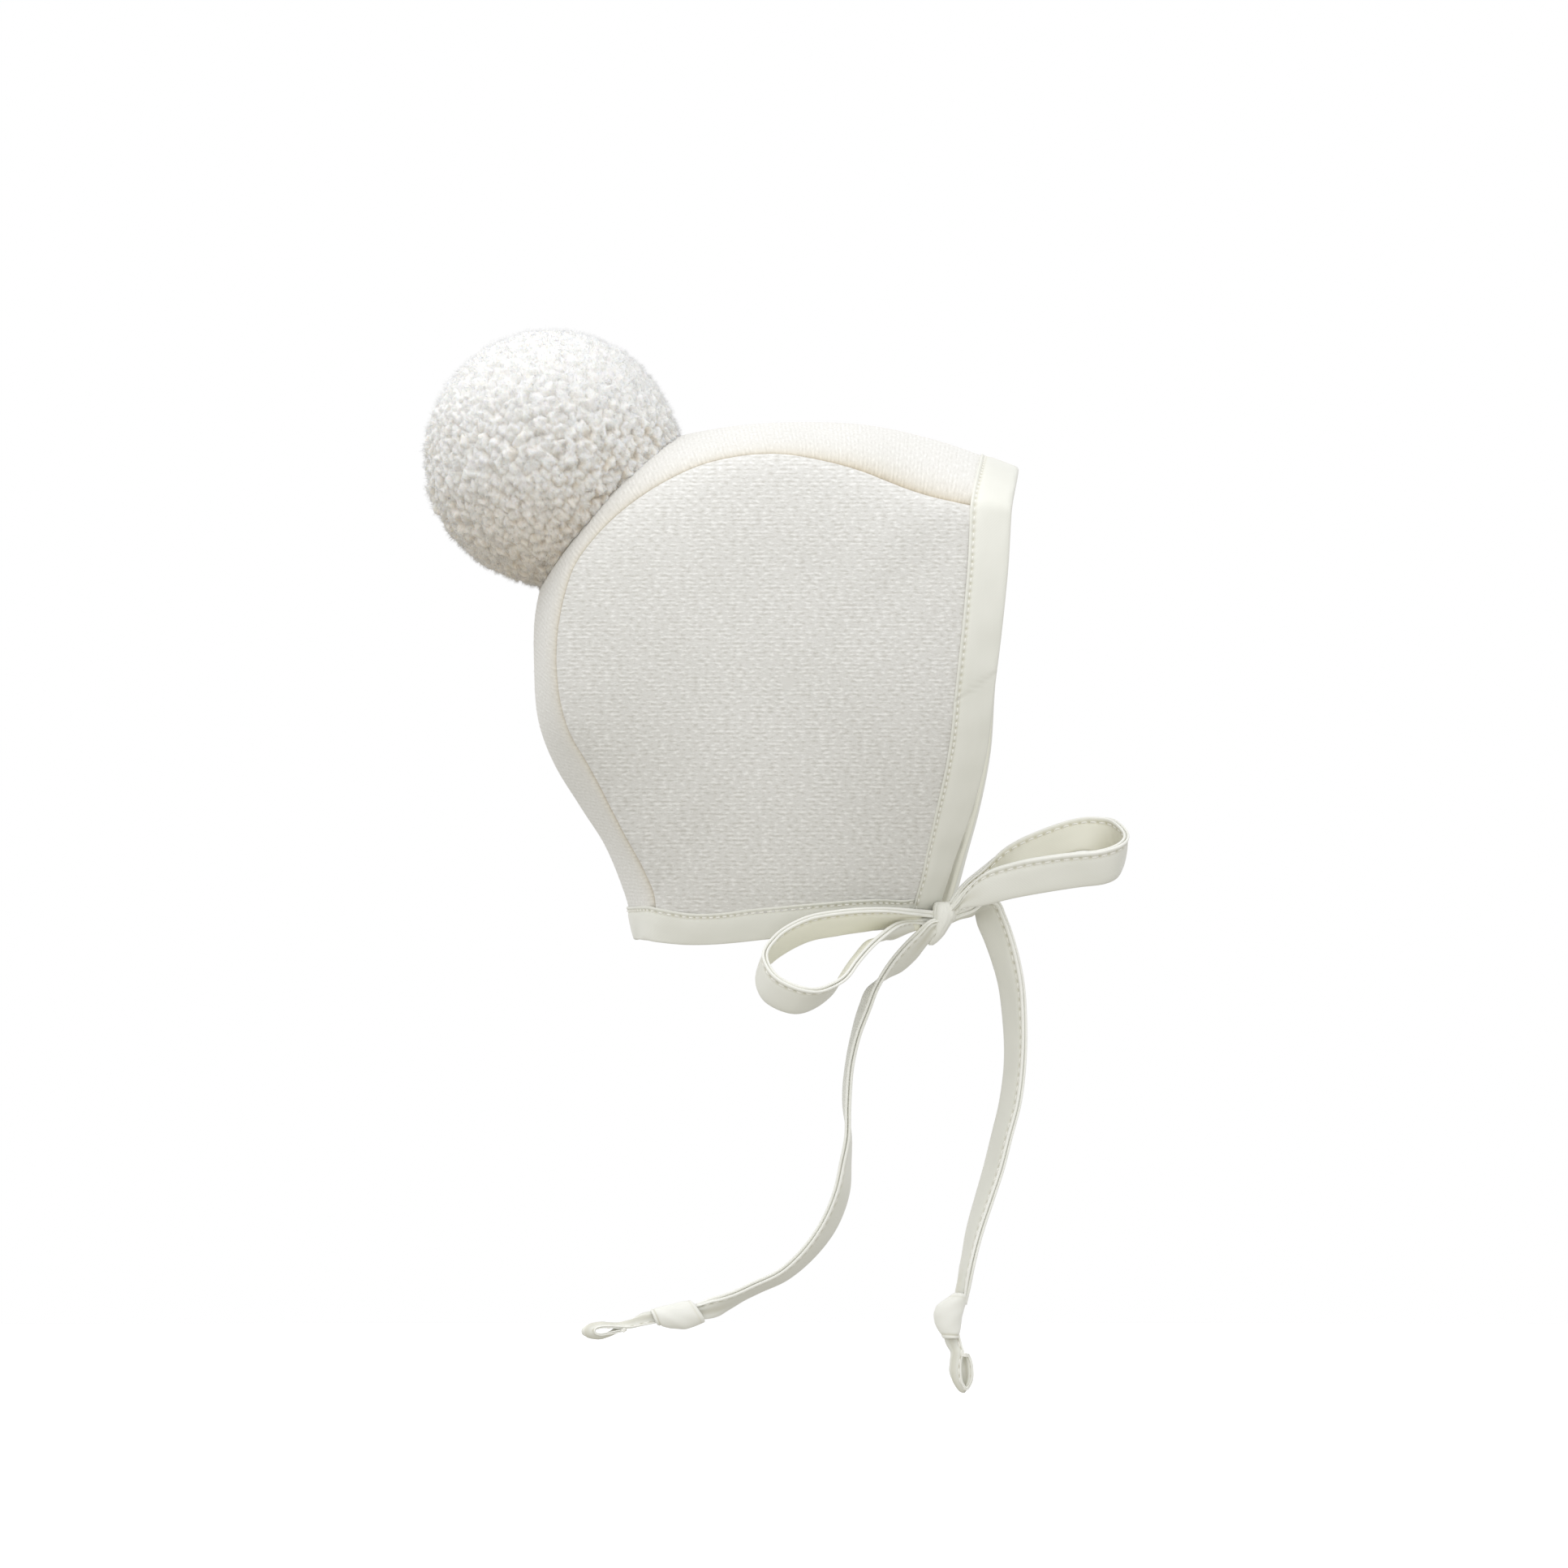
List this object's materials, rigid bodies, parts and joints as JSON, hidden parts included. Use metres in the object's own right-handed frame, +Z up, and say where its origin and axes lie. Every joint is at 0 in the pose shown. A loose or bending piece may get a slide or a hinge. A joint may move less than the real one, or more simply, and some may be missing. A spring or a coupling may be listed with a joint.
{
  "type": "baby bonnet",
  "caption": "Soft wool hood for a baby's head, bound at face and neck, with a yarn pompom on the back of the crown and tape ties knotted in a bow under the chin.",
  "frame": {"origin": "on the middle plane, on the inside of the crown, where the bonnet rests on the top of a head", "axes": "+X out of the face opening, +Y towards the wearer's left, away from the side where the bow is tied, +Z up"},
  "size_m": [0.2186, 0.1276, 0.3276],
  "materials": {
    "wool_felt": "matt felted wool",
    "sateen_tape": "soft sateen sheen",
    "pompom_yarn": "matt wool yarn"
  },
  "bodies": {
    "root": {"bow_loop_back": "sateen_tape", "bow_loop_front": "sateen_tape", "centre_strip": "wool_felt", "face_binding": "sateen_tape", "neck_binding": "sateen_tape", "pompom": "pompom_yarn", "side_panel_far": "wool_felt", "side_panel_near": "wool_felt", "tail_cuff_back": "sateen_tape", "tail_cuff_front": "sateen_tape", "tail_tip_back": "sateen_tape", "tail_tip_front": "sateen_tape", "tie_knot": "sateen_tape", "tie_lead_far": "sateen_tape", "tie_lead_near": "sateen_tape", "tie_tail_back": "sateen_tape", "tie_tail_front": "sateen_tape"}
  },
  "joints": []
}
